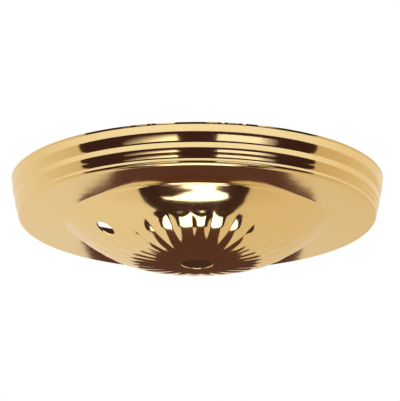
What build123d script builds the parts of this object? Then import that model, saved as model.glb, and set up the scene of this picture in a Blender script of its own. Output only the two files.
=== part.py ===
from build123d import *
import math
import os

# Ceiling canopy pressed from one disc of sheet brass.
# Millimetres, +Z up, origin at the centre of the ceiling plane. The dome hangs towards -Z.

# Sheet
wall = 0.6

# Rim lip, which lies against the ceiling
rim_r = 63.5
lip_out = 0.15
lip_height = 0.5

# Upper tier: straight wall, then a roll and a taper
tier_1_wall = 2.45
tier_1_roll_r = 5.5
tier_1_taper = 14.4
tier_1_bottom = 6.5

# Second tier: small ledge, straight wall, then a roll
tier_2_ledge = 0.26
tier_2_wall = 1.75
tier_2_roll_in = 0.42
tier_2_roll_height = 1.55

# Third tier: ledge, slight taper, then a roll
tier_3_ledge = 0.47
tier_3_taper = 8.3
tier_3_taper_height = 0.75
tier_3_roll_in = 0.23
tier_3_roll_height = 0.65

# Bottom band and its bevel down to the flat ring
band_height = 1.05
bevel_in = 0.65
bevel_height = 1.25
ledge_drop = 0.1

# Flat ring between the rim and the dome, sloping down to the dome
dome_edge_r = 44.7
ring_slope = 3.4
dome_edge_fillet = 0.8

# Dome: a flat crown and a rounder skirt that meet tangentially
crown_r = 21.0
crown_radius = 95.0
skirt_radius = 51.0

# Raised ribs that run from the crown out over the skirt, one of them under each bar hole
rib_count = 28
rib_tube_r = 4.3
rib_start_r = 10.0
rib_end_r = 35.2
rib_crown_radius = 105.6
rib_skirt_radius = 54.0
rib_sector = 0.96

# Holes
centre_hole_d = 10.5
bar_hole_d = 6.0
bar_hole_spacing = 69.85


# Rim, from the ceiling down to the flat ring
taper_1 = math.radians(tier_1_taper)
r_wall_1 = rim_r - lip_out
z_wall_1 = -lip_height - tier_1_wall
r_roll_1 = r_wall_1 - tier_1_roll_r * (1 - math.cos(taper_1))
z_roll_1 = z_wall_1 - tier_1_roll_r * math.sin(taper_1)
r_tier_1 = r_roll_1 - math.tan(taper_1) * (tier_1_bottom + z_roll_1)
r_wall_2 = r_tier_1 - tier_2_ledge
z_wall_2 = -tier_1_bottom - ledge_drop - tier_2_wall
roll_2_r = (tier_2_roll_in**2 + tier_2_roll_height**2) / (2 * tier_2_roll_in)
z_tier_2 = z_wall_2 - tier_2_roll_height
taper_3 = math.radians(tier_3_taper)
r_top_3 = r_wall_2 - tier_2_roll_in - tier_3_ledge
z_taper_3 = z_tier_2 - ledge_drop - tier_3_taper_height
r_taper_3 = r_top_3 - tier_3_taper_height * math.tan(taper_3)
r_band = r_taper_3 - tier_3_roll_in
z_band_top = z_taper_3 - tier_3_roll_height
z_band = z_band_top - band_height
bevel_r = (bevel_in**2 + bevel_height**2) / (2 * bevel_in)
r_ring = r_band - bevel_in
z_ring = z_band - bevel_height

# Dome, from its edge to the apex
slope_ring = math.radians(ring_slope)
z_edge = z_ring - (r_ring - dome_edge_r) * math.tan(slope_ring)
slope_crown = math.asin(crown_r / crown_radius)
r_skirt_centre = crown_r * (1 - skirt_radius / crown_radius)
slope_edge = math.asin((dome_edge_r - r_skirt_centre) / skirt_radius)
z_skirt_centre = z_edge + skirt_radius * math.cos(slope_edge)
z_apex = z_skirt_centre - skirt_radius + (crown_radius - skirt_radius) * (math.cos(slope_crown) - 1)


def half_section(depth):
    """Half section up to the ceiling plane, drawn at a given depth behind the outer face."""
    step_1 = depth * (1 - math.sin(taper_1)) / math.cos(taper_1)
    step_3 = depth * (1 - math.sin(taper_3)) / math.cos(taper_3)
    wall_1 = r_wall_1 - depth
    roll_1 = (r_roll_1 - depth * math.cos(taper_1), z_roll_1 + depth * math.sin(taper_1))
    tier_1 = (r_tier_1 - step_1, depth - tier_1_bottom)
    wall_2 = r_wall_2 - depth
    top_2 = (wall_2, depth - tier_1_bottom - ledge_drop)
    run_2 = math.sqrt((roll_2_r - depth) ** 2 - (tier_2_roll_height - depth) ** 2)
    tier_2 = (r_wall_2 - roll_2_r + run_2, z_tier_2 + depth)
    top_3 = (r_top_3 - step_3, z_tier_2 - ledge_drop + depth)
    taper_end = (r_taper_3 - depth * math.cos(taper_3), z_taper_3 + depth * math.sin(taper_3))
    taper_along = (-math.sin(taper_3), -math.cos(taper_3))
    band_top = (r_band - depth, z_band_top + depth / 2)
    band_end = (r_band - depth, z_band)
    run_ring = math.sqrt((bevel_r - depth) ** 2 - (bevel_height - depth) ** 2)
    ring = (r_band - bevel_r + run_ring, z_ring + depth)
    mitre = depth / math.cos((slope_edge - slope_ring) / 2)
    lean = (slope_edge + slope_ring) / 2
    edge = (dome_edge_r - mitre * math.sin(lean), z_edge + mitre * math.cos(lean))
    r_skirt = skirt_radius - depth
    crown = (r_skirt_centre + r_skirt * math.sin(slope_crown), z_skirt_centre - r_skirt * math.cos(slope_crown))
    apex = (0, z_apex + depth)
    with BuildSketch() as section:
        with BuildLine() as outline:
            Line((wall_1, 0), (wall_1, z_wall_1))
            TangentArc((wall_1, z_wall_1), roll_1, tangent=(0, -1))
            Polyline(roll_1, tier_1, top_2, (wall_2, z_wall_2))
            TangentArc((wall_2, z_wall_2), tier_2, tangent=(0, -1))
            Polyline(tier_2, top_3, taper_end)
            TangentArc(taper_end, band_top, tangent=taper_along)
            Line(band_top, band_end)
            TangentArc(band_end, ring, tangent=(0, -1))
            Line(ring, edge)
            RadiusArc(edge, crown, r_skirt)
            RadiusArc(crown, apex, crown_radius - depth)
            fillet(outline.vertices().sort_by_distance(edge)[0], dome_edge_fillet + depth)
            Polyline(apex, (0, 0), (wall_1, 0))
        make_face()
    return section.sketch


with BuildPart() as filled:
    with BuildSketch(Plane.XZ):
        add(half_section(0))
    revolve(axis=Axis.Z)
    Cylinder(rim_r, lip_height, align=(Align.CENTER, Align.CENTER, Align.MAX))

# The hollow behind the sheet
with BuildPart() as hollow:
    with BuildSketch(Plane.XZ):
        add(half_section(wall))
    revolve(axis=Axis.Z)

# Path of a rib: an arc over the crown, then a tangent arc over the skirt
rib_start_sine = rib_start_r / crown_radius
z_rib_start = z_apex + crown_radius * (1 - math.sqrt(1 - rib_start_sine**2))
z_rib_crown_centre = z_rib_start + math.sqrt(rib_crown_radius**2 - rib_start_r**2)
rib_bend = math.asin(crown_r / rib_crown_radius)
rib_shift = rib_crown_radius - rib_skirt_radius
x_rib_skirt_centre = rib_shift * math.sin(rib_bend)
z_rib_skirt_centre = z_rib_crown_centre - rib_shift * math.cos(rib_bend)
rib_path_radius = rib_skirt_radius - rib_tube_r
rib_end = math.asin((rib_end_r - x_rib_skirt_centre) / rib_path_radius)
rib_inner = math.asin(0.8 * rib_start_r / rib_crown_radius)
rib_half_angle = rib_sector * 180 / rib_count
rib_reach = rib_end_r + rib_tube_r
sector_half = rib_reach * math.tan(math.radians(rib_half_angle))


def rib(tube_r):
    """Raised rib of round section along +X, with a round outer end."""
    x_bend = (rib_crown_radius - rib_tube_r) * math.sin(rib_bend)
    z_bend = z_rib_crown_centre - (rib_crown_radius - rib_tube_r) * math.cos(rib_bend)
    x_end = x_rib_skirt_centre + rib_path_radius * math.sin(rib_end)
    z_end = z_rib_skirt_centre - rib_path_radius * math.cos(rib_end)
    along = (math.cos(rib_bend), 0, math.sin(rib_bend))
    section = Plane(origin=(x_bend, 0, z_bend), x_dir=(0, 1, 0), z_dir=along)
    crown_axis = Axis((0, 0, z_rib_crown_centre), (0, 1, 0))
    skirt_axis = Axis((x_rib_skirt_centre, 0, z_rib_skirt_centre), (0, -1, 0))
    with BuildPart() as tube:
        with BuildSketch(section) as disc:
            Circle(tube_r)
        revolve(disc.sketch, axis=crown_axis, revolution_arc=math.degrees(rib_bend - rib_inner))
        revolve(disc.sketch, axis=skirt_axis, revolution_arc=math.degrees(rib_end - rib_bend))
        with Locations((x_end, 0, z_end)):
            Sphere(tube_r)
        with BuildSketch(Plane.XY):
            with BuildLine():
                Polyline((0, 0), (rib_reach, -sector_half), (rib_reach, sector_half), close=True)
            make_face()
        extrude(amount=2 * z_apex, mode=Mode.INTERSECT)
    return tube.part


rib_outside = rib(rib_tube_r)
rib_inside = rib(rib_tube_r - wall)

with BuildPart() as canopy:
    add(filled.part)
    with PolarLocations(0, rib_count):
        add(rib_outside)
    add(hollow.part, mode=Mode.SUBTRACT)
    with PolarLocations(0, rib_count):
        add(rib_inside, mode=Mode.SUBTRACT)
    Cylinder(centre_hole_d / 2, 3 * -z_apex, mode=Mode.SUBTRACT)
    with Locations((bar_hole_spacing / 2, 0), (-bar_hole_spacing / 2, 0)):
        Cylinder(bar_hole_d / 2, 3 * -z_apex, mode=Mode.SUBTRACT)

canopy.part.label = "canopy"
os.makedirs("parts", exist_ok=True)
export_step(canopy.part, "parts/canopy.step")
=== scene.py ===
import math

import bpy
from mathutils import Matrix, Vector


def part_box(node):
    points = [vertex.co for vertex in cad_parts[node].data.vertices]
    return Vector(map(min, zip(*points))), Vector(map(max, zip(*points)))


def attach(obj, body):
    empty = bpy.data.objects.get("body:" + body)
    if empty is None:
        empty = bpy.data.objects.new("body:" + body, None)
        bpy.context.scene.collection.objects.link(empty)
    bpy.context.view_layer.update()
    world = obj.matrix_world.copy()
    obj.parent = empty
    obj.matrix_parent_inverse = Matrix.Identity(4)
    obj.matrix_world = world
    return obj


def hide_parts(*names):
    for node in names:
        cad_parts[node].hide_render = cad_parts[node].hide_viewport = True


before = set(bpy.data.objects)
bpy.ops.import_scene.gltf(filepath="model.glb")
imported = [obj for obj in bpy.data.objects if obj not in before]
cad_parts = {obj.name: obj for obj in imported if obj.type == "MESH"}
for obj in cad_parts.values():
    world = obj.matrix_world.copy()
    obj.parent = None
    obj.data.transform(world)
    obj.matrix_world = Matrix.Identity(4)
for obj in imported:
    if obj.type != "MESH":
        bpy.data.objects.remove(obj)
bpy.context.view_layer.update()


# Canopy
# The real canopy is one disc of soft brass sheet, pressed to a stepped rim, a flat ring and a dome with 28
# raised ribs, and then punched for the lamp's nipple and for two screws. It is polished and lacquered outside
# and left as pressed inside. Its outline is drawn here in millimetres and then turned about Z.
MM = 0.001
sheet = 0.6
rim_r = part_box("canopy")[1].x / MM
bar_hole_r = 3.0
bar_hole_spacing = 69.85
centre_hole_r = 5.25

# Pieces of the rim's outline from the ceiling down, each from one lean to another in degrees from upright. A
# piece that keeps its lean is straight and has a length. The others are arcs and have a radius, below zero
# where they are hollow.
crease = -0.08
rim_pieces = (
    # The lip and the upper tier, with an upright wall and a roll of three arcs.
    (28, 28, 0.66), (28, 0, -0.15), (0, 0, 1.87), (0, 11.3, 6.3), (11.3, 20.8, 13.3), (20.8, 29, 4.5),
    # The second tier, whose roll tightens towards the crease below it.
    (29, 0, crease), (0, 0, 1.25), (0, 11.3, 5.6), (11.3, 20.8, 4.8), (20.8, 29, 3.3),
    # The third tier, with a slight taper in place of the upright wall.
    (29, 8.3, crease), (8.3, 8.3, 0.12), (8.3, 20.8, 4.6), (20.8, 29, 3.7),
    # The bottom band, rolled under into the flat ring.
    (29, 0, crease), (0, 0, 0.6), (0, 71, 1.44), (71, 85.4, 0.5),
)

# An arc has a point every few degrees, and at least three. A straight piece that isn't short has one just
# inside each end, so that its shading stays flat.
arc_step = 5
fewest_steps = 3
short = 0.3
end_margin = 0.05


def drawn(start, pieces):
    """Points of an outline made of these pieces, which goes down and inwards from start."""
    points = [start]
    for lean, lean_after, size in pieces:
        a, b = math.radians(lean), math.radians(lean_after)
        r, z = points[-1]
        if a == b:
            shares = (end_margin / size, 1 - end_margin / size, 1) if size > short else (1,)
            points += [(r - size * math.sin(a) * s, z - size * math.cos(a) * s) for s in shares]
        else:
            steps = max(fewest_steps, math.ceil(abs(lean_after - lean) / arc_step))
            for i in range(1, steps + 1):
                t = a + (b - a) * i / steps
                inwards, down = math.cos(a) - math.cos(t), math.sin(t) - math.sin(a)
                points.append((r - size * inwards, z - size * down))
    return points


outline = drawn((rim_r, 0), rim_pieces)

# The dome: a flat crown and a rounder skirt that meet tangentially at crown_r. The skirt's edge is given by
# its radius and height.
dome_edge = (44.7, -14.64)
crown_r = 21.0
crown_radius = 95.0
skirt_radius = 51.0
skirt_r0 = crown_r * (1 - skirt_radius / crown_radius)
skirt_z0 = dome_edge[1] + math.sqrt(skirt_radius ** 2 - (dome_edge[0] - skirt_r0) ** 2)
crown_z0 = skirt_z0 + (crown_radius - skirt_radius) * math.cos(math.asin(crown_r / crown_radius))

# The flat ring and the hollow corner at the foot of the dome.
ring_start = outline[-1]
ring_width, ring_drop = ring_start[0] - dome_edge[0], ring_start[1] - dome_edge[1]
ring_lean = math.degrees(math.atan2(ring_width, ring_drop))
dome_lean = 90 - math.degrees(math.asin((dome_edge[0] - skirt_r0) / skirt_radius))
foot = 2.6
reach = foot * math.tan(math.radians(ring_lean - dome_lean) / 2)
ring_length = math.hypot(ring_width, ring_drop) - reach
outline += drawn(ring_start, [(ring_lean, ring_lean, ring_length), (ring_lean, dome_lean, -foot)])[1:]

# The ribs: wide and low, side by side, rising slowly from the crown and ending in a rounded tip on the skirt.
# Radii, each with the height of a rib's middle there. Across, a rib is part a wave and part a parabola, which
# keeps the valley between two of them sharp.
rib_count = 28
rib_line = ((8, 0), (14, 0.08), (20, 0.15), (26, 0.28), (31, 0.34), (34, 0.22), (36.5, 0))
rib_slopes = [0] + [(h1 - h0) / (r1 - r0) for (r0, h0), (r1, h1) in zip(rib_line, rib_line[2:])] + [0]
wave_share = 0.3


def rib_rise(r, angle):
    """How far the sheet stands out of the smooth dome here, in millimetres."""
    if r <= rib_line[0][0] or r >= rib_line[-1][0]:
        return 0.0
    i = max(i for i, (start, h) in enumerate(rib_line) if start <= r)
    (r0, h0), (r1, h1) = rib_line[i], rib_line[i + 1]
    t, width = (r - r0) / (r1 - r0), r1 - r0
    crest = (h0 * (1 + 2 * t) * (1 - t) ** 2 + h1 * (3 - 2 * t) * t * t
             + width * t * (1 - t) * (rib_slopes[i] * (1 - t) - rib_slopes[i + 1] * t))
    pitch = 2 * math.pi / rib_count
    side = abs((angle + pitch / 2) % pitch - pitch / 2) / (pitch / 2)
    wave, parabola = 0.5 + 0.5 * math.cos(math.pi * side), 1 - side * side
    return crest * (wave_share * wave + (1 - wave_share) * parabola)


def dome_point(r, angle, depth):
    """A point of the dome in metres, on its outer face or at a depth behind it."""
    r0, z0, radius = (skirt_r0, skirt_z0, skirt_radius) if r > crown_r else (0, crown_z0, crown_radius)
    z = z0 - math.sqrt(radius ** 2 - (r - r0) ** 2)
    h = rib_rise(r, angle) - depth
    r_out = r + h * (r - r0) / radius
    return Vector((r_out * math.cos(angle), r_out * math.sin(angle), z + h * (z - z0) / radius)) * MM


ceiling_margin = 0.4


def inset(points, depth):
    """The outline at a depth behind the outer face, cut off at the ceiling, with a third of its points."""
    across = []
    for start, end in zip(points, points[1:]):
        along = (Vector(end) - Vector(start)).normalized()
        across.append(Vector((along.y, -along.x)))
    result = []
    for at, one, other in zip(points[1:], across, across[1:]):
        both = one + other
        moved = Vector(at) + both * depth * 2 / both.length_squared
        if moved.y < -ceiling_margin:
            result.append((moved.x, moved.y))
    return [(result[0][0], 0)] + result[::3] + result[-1:]


# Radii of the dome's rows of points, in stretches that each end at a radius and have a step. The step is
# finest over the tips of the ribs and the screw holes.
radii = [43.2]
for end, step in ((40.0, 0.8), (38.6, 0.7), (38.0, 0.6), (28.1, 0.45), (centre_hole_r + 0.85, 1.0)):
    start = radii[-1]
    radii += [start - step * (i + 1) for i in range(round((start - end) / step))]

# Each row of the dome by radius and depth, with the edge of the centre hole rounded by deburring.
deburr = 0.28
dome_rows = [(r, 0) for r in radii]
for t in (0, 30, 60, 90):
    round_in, round_down = 1 - math.sin(math.radians(t)), 1 - math.cos(math.radians(t))
    dome_rows.append((centre_hole_r + deburr * round_in, deburr * round_down))

spokes_per_rib = 14
spokes = rib_count * spokes_per_rib
angles = [2 * math.pi * j / spokes for j in range(spokes)]


def turned(points):
    """Rows of points in metres, one for each point of an outline, turned about Z."""
    return [[Vector((r * math.cos(a), r * math.sin(a), z)) * MM for a in angles] for r, z in points]


# Rows from the ceiling over the outer face to the centre hole, and back along the inner face.
rows = turned(outline)
dome_start = len(rows)
inside = dome_start + len(dome_rows)
for r, depth in dome_rows + [(r, sheet - depth) for r, depth in reversed(dome_rows)]:
    rows.append([dome_point(r, a, depth) for a in angles])
rows += turned(reversed(inset(outline, sheet)))
verts = [p for row in rows for p in row]


def quad(i, j):
    """The face between row i and the next one, at this spoke."""
    here, after = i * spokes, (i + 1) % len(rows) * spokes
    spoke_after = (j + 1) % spokes
    return (here + j, after + j, after + spoke_after, here + spoke_after)


def twin(v):
    """The point of the inner face that lies behind this point of the outer face."""
    return (2 * inside - 1 - v // spokes) * spokes + v % spokes


# The two screw holes. The faces in each are left out on both sides of the sheet, the points round the gap are
# drawn onto the hole's circle, and the cut is closed.
holes = [Vector((side * bar_hole_spacing / 2, 0)) * MM for side in (-1, 1)]
cut = set()
for i in range(dome_start, inside - 1):
    for j in range(spokes):
        centre = sum((verts[v] for v in quad(i, j)), Vector((0, 0, 0))) / 4
        if any((centre.xy - hole).length < bar_hole_r * MM for hole in holes):
            cut.add((i, j))
            cut.add((2 * inside - 2 - i, j))
kept = [(i, j) for i in range(len(rows)) for j in range(spokes) if (i, j) not in cut]
faces = [quad(i, j) for i, j in kept]
finishes = [0 if i < inside else 1 for i, j in kept]
edges = {e for i, j in cut if i < inside for e in zip(quad(i, j), quad(i, j)[1:] + quad(i, j)[:1])}
walls = [e for e in edges if (e[1], e[0]) not in edges]
for a, b in walls:
    faces.append((a, b, twin(b), twin(a)))
    finishes.append(0)
for v in {v for e in walls for v in e}:
    hole = min(holes, key=lambda hole: (verts[v].xy - hole).length)
    on_circle = (verts[v].xy - hole).normalized() * bar_hole_r * MM + hole
    for at, depth in ((v, 0), (twin(v), sheet)):
        verts[at] = dome_point(on_circle.length / MM, math.atan2(on_circle.y, on_circle.x), depth)

used = sorted({v for face in faces for v in face})
number = {v: i for i, v in enumerate(used)}
mesh = bpy.data.meshes.new("canopy_sheet")
mesh.from_pydata([verts[v] for v in used], [], [[number[v] for v in face] for face in faces])
mesh.validate()
mesh.shade_smooth()
mesh.polygons.foreach_set("material_index", finishes)
canopy = bpy.data.objects.new("canopy_sheet", mesh)
bpy.context.collection.objects.link(canopy)

# The press and the punch leave their edges a little round.
edge_width = 0.08
edge_angle = 50
corners = canopy.modifiers.new("cut edges", "BEVEL")
corners.width = edge_width * MM
corners.segments = 2
corners.limit_method = "ANGLE"
corners.angle_limit = math.radians(edge_angle)
corners.harden_normals = True


def linear(colour):
    """The linear colour of an sRGB hex colour, with alpha 1."""
    parts = [int(colour[i:i + 2], 16) / 255 for i in (1, 3, 5)]
    return [c / 12.92 if c <= 0.04045 else ((c + 0.055) / 1.055) ** 2.4 for c in parts] + [1]


def node(tree, kind, settings=None, links=None):
    """Adds a node, sets its properties and its inputs, and links its inputs to other nodes' outputs."""
    n = tree.nodes.new(kind)
    for name, value in (settings or {}).items():
        if hasattr(n, name):
            setattr(n, name, value)
        else:
            n.inputs[name].default_value = value
    for name, output in (links or {}).items():
        tree.links.new(output, n.inputs[name])
    return n


def polished_brass():
    """Yellow brass, buffed and lacquered: a warm mirror, a little cloudy where the buffing wheel passed."""
    mat = bpy.data.materials.new("polished_lacquered_brass")
    mat.use_nodes = True
    tree = mat.node_tree
    shader = tree.nodes["Principled BSDF"]
    shader.inputs["Metallic"].default_value = 1
    shader.inputs["Base Color"].default_value = linear("#F5D99E")
    place = node(tree, "ShaderNodeTexCoord").outputs["Object"]
    # The buffing wheel leaves clouds about 11 mm across, where the shine is softer.
    cloud = node(tree, "ShaderNodeTexNoise", {"Scale": 1 / (11 * MM), "Detail": 4}, {"Vector": place})
    limits = {"To Min": 0.05, "To Max": 0.11}
    gloss = node(tree, "ShaderNodeMapRange", limits, {"Value": cloud.outputs["Fac"]})
    tree.links.new(gloss.outputs["Result"], shader.inputs["Roughness"])
    # Pressed and buffed sheet is faintly wavy over about 6 mm, which bends what it reflects a little.
    wave = node(tree, "ShaderNodeTexNoise", {"Scale": 1 / (6 * MM), "Detail": 2}, {"Vector": place})
    relief = {"Strength": 0.08, "Distance": 0.2 * MM}
    bump = node(tree, "ShaderNodeBump", relief, {"Height": wave.outputs["Fac"]})
    tree.links.new(bump.outputs["Normal"], shader.inputs["Normal"])
    return mat


def raw_brass_with_painted_shade():
    """Brass left as pressed: dull and brown with age and heat, with cloudy stains, and painted darker still
    as painted shade for the unlit inside of the canopy against the ceiling.
    """
    mat = bpy.data.materials.new("raw_pressed_brass_painted_shade")
    mat.use_nodes = True
    tree = mat.node_tree
    shader = tree.nodes["Principled BSDF"]
    shader.inputs["Metallic"].default_value = 1
    shader.inputs["Specular Tint"].default_value = linear("#BCBCBC")
    place = node(tree, "ShaderNodeTexCoord").outputs["Object"]
    # Stains about 16 mm across, darker where they are smoother.
    stain = node(tree, "ShaderNodeTexNoise", {"Scale": 1 / (16 * MM), "Detail": 6}, {"Vector": place})
    colour = node(tree, "ShaderNodeValToRGB", {}, {"Fac": stain.outputs["Fac"]})
    # Both tones are the raw brass's brown made darker with painted shade, which stands for the unlit inside
    # of the canopy.
    for mark, at, tone in zip(colour.color_ramp.elements, (0.35, 0.7), ("#2C150B", "#563519")):
        mark.position = at
        mark.color = linear(tone)
    tree.links.new(colour.outputs["Color"], shader.inputs["Base Color"])
    limits = {"To Min": 0.32, "To Max": 0.5}
    gloss = node(tree, "ShaderNodeMapRange", limits, {"Value": stain.outputs["Fac"]})
    tree.links.new(gloss.outputs["Result"], shader.inputs["Roughness"])
    # The sheet's grain is about 0.1 mm across. It is drawn at 0.9 mm, as coarse as it needs to show.
    grain = node(tree, "ShaderNodeTexNoise", {"Scale": 1 / (0.9 * MM), "Detail": 3}, {"Vector": place})
    relief = {"Strength": 0.2, "Distance": 0.03 * MM}
    bump = node(tree, "ShaderNodeBump", relief, {"Height": grain.outputs["Fac"]})
    tree.links.new(bump.outputs["Normal"], shader.inputs["Normal"])
    return mat


mesh.materials.append(polished_brass())
mesh.materials.append(raw_brass_with_painted_shade())
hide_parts("canopy")
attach(canopy, "root")


# Studio
# The canopy hangs in a tent of cloth lit from outside, open towards the camera, where the room is dark apart
# from two windows and two lamps. The camera sees none of it: it is there for the brass to reflect. Places are
# in metres as seen from the camera, x to its right and y away from it.
camera_turn = -28.5
turn = Matrix.Rotation(math.radians(camera_turn), 3, "Z")


def screen(name, rows, columns, material):
    """A sheet of cloth that the camera doesn't see, by its rows of points, each from left to right."""
    across = columns + 1
    quads = [(i * across + j, i * across + j + 1, (i + 1) * across + j + 1, (i + 1) * across + j)
             for i in range(len(rows) - 1) for j in range(columns)]
    sheet_mesh = bpy.data.meshes.new(name)
    sheet_mesh.from_pydata([turn @ Vector(p) for row in rows for p in row], [], quads)
    sheet_mesh.shade_smooth()
    sheet_mesh.materials.append(material)
    obj = bpy.data.objects.new(name, sheet_mesh)
    bpy.context.collection.objects.link(obj)
    obj.visible_camera = False
    obj.visible_diffuse = False
    obj.visible_shadow = False


def towards(azimuth, elevation, distance):
    """The point at this distance, by degrees to the right of the camera's side and degrees above level."""
    a, e = math.radians(azimuth), math.radians(elevation)
    level_distance = distance * math.cos(e)
    return (level_distance * math.sin(a), -level_distance * math.cos(a), distance * math.sin(e))


def band(name, distance, edges, material, columns=24):
    """A screen round the canopy at this distance, from rows of (elevation, left azimuth, right azimuth)."""
    rows = []
    for elevation, left, right in edges:
        azimuths = [left + (right - left) * j / columns for j in range(columns + 1)]
        rows.append([towards(azimuth, elevation, distance) for azimuth in azimuths])
    screen(name, rows, columns, material)


def level(name, depth, edges, material):
    """A level screen this far below the ceiling, from rows of (y, left x, right x) for a depth of 1 metre."""
    rows = [[(x * depth, y * depth, -depth) for x in (left, right)] for y, left, right in edges]
    screen(name, rows, 1, material)


def glow(name, colour, strength=1.0):
    """A stage material that shines evenly in one colour."""
    mat = bpy.data.materials.new(name)
    mat.use_nodes = True
    tree = mat.node_tree
    tree.nodes.remove(tree.nodes["Principled BSDF"])
    light = node(tree, "ShaderNodeEmission", {"Color": linear(colour), "Strength": strength})
    tree.links.new(light.outputs[0], tree.nodes["Material Output"].inputs["Surface"])
    return mat


def cloth(name, tones):
    """A stage material in tones, each at its share of the way round from the camera's side by the left."""
    mat = glow(name, "#FFFFFF")
    tree = mat.node_tree
    place = node(tree, "ShaderNodeTexCoord").outputs["Object"]
    back = {"rotation_type": "Z_AXIS", "Angle": math.radians(-camera_turn)}
    seen = node(tree, "ShaderNodeVectorRotate", back, {"Vector": place})
    split = node(tree, "ShaderNodeSeparateXYZ", {}, {"Vector": seen.outputs[0]})
    sides = {0: split.outputs["X"], 1: split.outputs["Y"]}
    angle = node(tree, "ShaderNodeMath", {"operation": "ARCTAN2"}, sides)
    whole = {"From Min": -math.pi, "From Max": math.pi}
    share = node(tree, "ShaderNodeMapRange", whole, {"Value": angle.outputs[0]})
    ramp = node(tree, "ShaderNodeValToRGB", {}, {"Fac": share.outputs["Result"]})
    marks = ramp.color_ramp.elements
    for mark, (at, colour) in ((marks[0], tones[0]), (marks[1], tones[-1])):
        mark.position = at
        mark.color = linear(colour)
    for at, colour in tones[1:-1]:
        marks.new(at).color = linear(colour)
    tree.links.new(ramp.outputs["Color"], tree.nodes["Emission"].inputs["Color"])
    return mat


# The tent's cloth, a warm white that is a little darker on the right and towards the opening, and its top.
tent_distance = 3.1
tent_columns = 48
tent_tones = ((0.22, "#DCCBB2"), (0.34, "#EEE5D7"), (0.48, "#EAE0D0"), (0.52, "#E2D2B6"), (0.66, "#E3D3B8"),
              (0.78, "#D3BF9B"))
tent_edges = [(elevation, -180, 180) for elevation in (9, -10, -30, -50, -70, -89.9)]
band("tent", tent_distance, tent_edges, cloth("tent_cloth", tent_tones), tent_columns)
top_tones = ((0.12, "#FFFFFF"), (0.31, "#EDE3D0"), (0.69, "#F0E4D0"), (0.88, "#FFFFFF"))
top_edges = [(elevation, -180, 180) for elevation in (9, 20, 40)]
band("tent_top", tent_distance, top_edges, cloth("tent_top_cloth", top_tones), tent_columns)

# The opening, where the dark room shows: upright at the camera's side, and level below the canopy.
room_colour = "#392324"
dark = glow("dark_room", room_colour)
opening_distance = 3.0
opening_edges = ((9, -75, 76), (-20, -75, 77), (-30, -74, 74), (-36, -70, 67), (-42, -66, 62))
band("tent_opening", opening_distance, opening_edges, dark)
below_depth = 2.5
below_edges = ((-1.0, -0.9, 0.9), (-0.47, -1.0, 1.0), (-0.05, -0.6, 0.5), (0.08, -0.5, 0.42),
               (0.16, -0.45, 0.38), (0.22, -0.36, 0.32), (0.26, -0.3, 0.28), (0.62, -0.27, 0.25))
level("tent_opening_below", below_depth, below_edges, dark)

# Two windows in the dark room, which the rim's tiers show as bright bars with soft outer ends.
window_distance = 2.4
window_top = -5
window_foot = -24


def soft_window(name, colour, left, right, fade_x, fade_z, strength):
    """A window whose light fades in between two shares of its width, and between two of its height."""
    mat = glow(name + "_light", colour)
    tree = mat.node_tree
    place = node(tree, "ShaderNodeTexCoord").outputs["Generated"]
    split = node(tree, "ShaderNodeSeparateXYZ", {}, {"Vector": place})
    fades = []
    for axis, (start, end), most in (("X", fade_x, strength), ("Z", fade_z, 1.0)):
        fade = {"From Min": start, "From Max": end, "To Max": most}
        fades.append(node(tree, "ShaderNodeMapRange", fade, {"Value": split.outputs[axis]}).outputs[0])
    both = node(tree, "ShaderNodeMath", {"operation": "MULTIPLY"}, {0: fades[0], 1: fades[1]})
    light = tree.nodes["Emission"]
    tree.links.new(both.outputs[0], light.inputs["Strength"])
    room = node(tree, "ShaderNodeEmission", {"Color": linear(room_colour), "Strength": 1})
    total = node(tree, "ShaderNodeAddShader", {}, {0: light.outputs[0], 1: room.outputs[0]})
    tree.links.new(total.outputs[0], tree.nodes["Material Output"].inputs["Surface"])
    band(name, window_distance, ((window_top, left, right), (window_foot, left, right)), mat)


soft_window("window_left", "#FFF8EE", left=-46, right=-12,
            fade_x=(0.08, 0.84), fade_z=(1.15, 0.35), strength=1.85)
soft_window("window_right", "#F0EEF6", left=12, right=49.5,
            fade_x=(1.0, 0.66), fade_z=(1.3, 0.9), strength=1.35)

# Two lamps below the canopy. The first, which is drawn in from its left side, shines in the side of the dome
# towards the camera, and the second in the ends of the ribs.
lamp_depth = 1.5
lamp_light = glow("lamp_cloth", "#FFFFFF", strength=3)
lamp_edges = ((-0.34, -0.3, 0.3), (-0.31, -0.4, 0.36), (-0.27, -0.43, 0.38), (-0.225, -0.43, 0.36),
              (-0.2, -0.22, 0.27), (-0.175, -0.03, 0.16), (-0.145, -0.03, 0.16), (-0.12, -0.1, 0.2),
              (-0.07, -0.15, 0.26), (-0.02, -0.22, 0.26), (0.0, -0.31, 0.25), (0.012, -0.26, 0.2))
level("lamp", lamp_depth, lamp_edges, lamp_light)
level("lamp_beside", lamp_depth, ((0.2, -0.15, 0.15), (0.52, -0.15, 0.15)), lamp_light)

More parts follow.
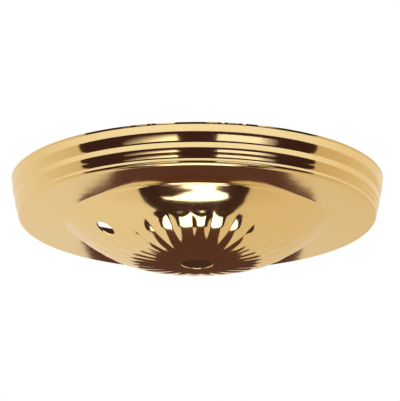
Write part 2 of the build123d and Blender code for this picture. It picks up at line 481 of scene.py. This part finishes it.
# A seam of the cloth hangs in shade just beyond the canopy, in rows of (z, left x, right x). The crown and
# the flat ring show it dark.
seam_y = 0.23
seam_edges = ((-0.02, -0.036, 0.033), (-0.051, -0.049, 0.046), (-0.062, -0.054, 0.05),
              (-0.1, -0.056, 0.055), (-0.112, -0.06, 0.059), (-0.123, -0.056, 0.0565),
              (-0.1304, -0.0505, 0.0515), (-0.1405, -0.0437, 0.045), (-0.149, -0.042, 0.044),
              (-0.2, -0.05, 0.05), (-0.46, -0.07, 0.066))
seam_rows = [[(left, seam_y, z), (right, seam_y, z)] for z, left, right in seam_edges]
screen("tent_seam", seam_rows, 1, glow("tent_seam_shade", "#593A35"))

# White paper lies under it all, which the camera and the brass see as evenly white.
floor_half = 8
floor_z = -3.2
floor_corners = [(x * floor_half, y * floor_half, floor_z) for x, y in ((-1, -1), (1, -1), (1, 1), (-1, 1))]
floor_mesh = bpy.data.meshes.new("floor")
floor_mesh.from_pydata(floor_corners, [], [(0, 1, 2, 3)])
floor = bpy.data.objects.new("floor", floor_mesh)
bpy.context.collection.objects.link(floor)
paper = bpy.data.materials.new("white_paper")
paper.use_nodes = True
tree = paper.node_tree
ray = node(tree, "ShaderNodeLightPath")
direct = {0: ray.outputs["Is Camera Ray"], 1: ray.outputs["Is Glossy Ray"]}
either = node(tree, "ShaderNodeMath", {"operation": "MAXIMUM"}, direct)
white = node(tree, "ShaderNodeEmission", {"Color": linear("#FFFFFF"), "Strength": 1})
choice = {0: either.outputs[0], 1: tree.nodes["Principled BSDF"].outputs[0], 2: white.outputs[0]}
mix = node(tree, "ShaderNodeMixShader", {}, choice)
tree.links.new(mix.outputs[0], tree.nodes["Material Output"].inputs["Surface"])
floor_mesh.materials.append(paper)

world = bpy.data.worlds.new("white_studio")
bpy.context.scene.world = world
world.use_nodes = True
world.node_tree.nodes["Background"].inputs["Color"].default_value = linear("#FFFFFF")
world.node_tree.nodes["Background"].inputs["Strength"].default_value = 1

# The camera looks up at the canopy from below the ceiling. Its place is in millimetres, and its focal length
# and the photo's height in pixels.
camera_at = (0.92, -1072.2, -345.4)
camera_pitch = 17.531
focal_length = 3291.2
photo_height = 401
sensor_width = 36
camera = bpy.data.objects.new("camera", bpy.data.cameras.new("camera"))
bpy.context.collection.objects.link(camera)
camera.location = turn @ Vector(camera_at) * MM
camera.rotation_euler = (math.radians(90 + camera_pitch), 0, math.radians(camera_turn))
camera.data.sensor_width = sensor_width
camera.data.lens = sensor_width * focal_length / photo_height
bpy.context.scene.camera = camera
bpy.context.scene.view_settings.view_transform = "Standard"
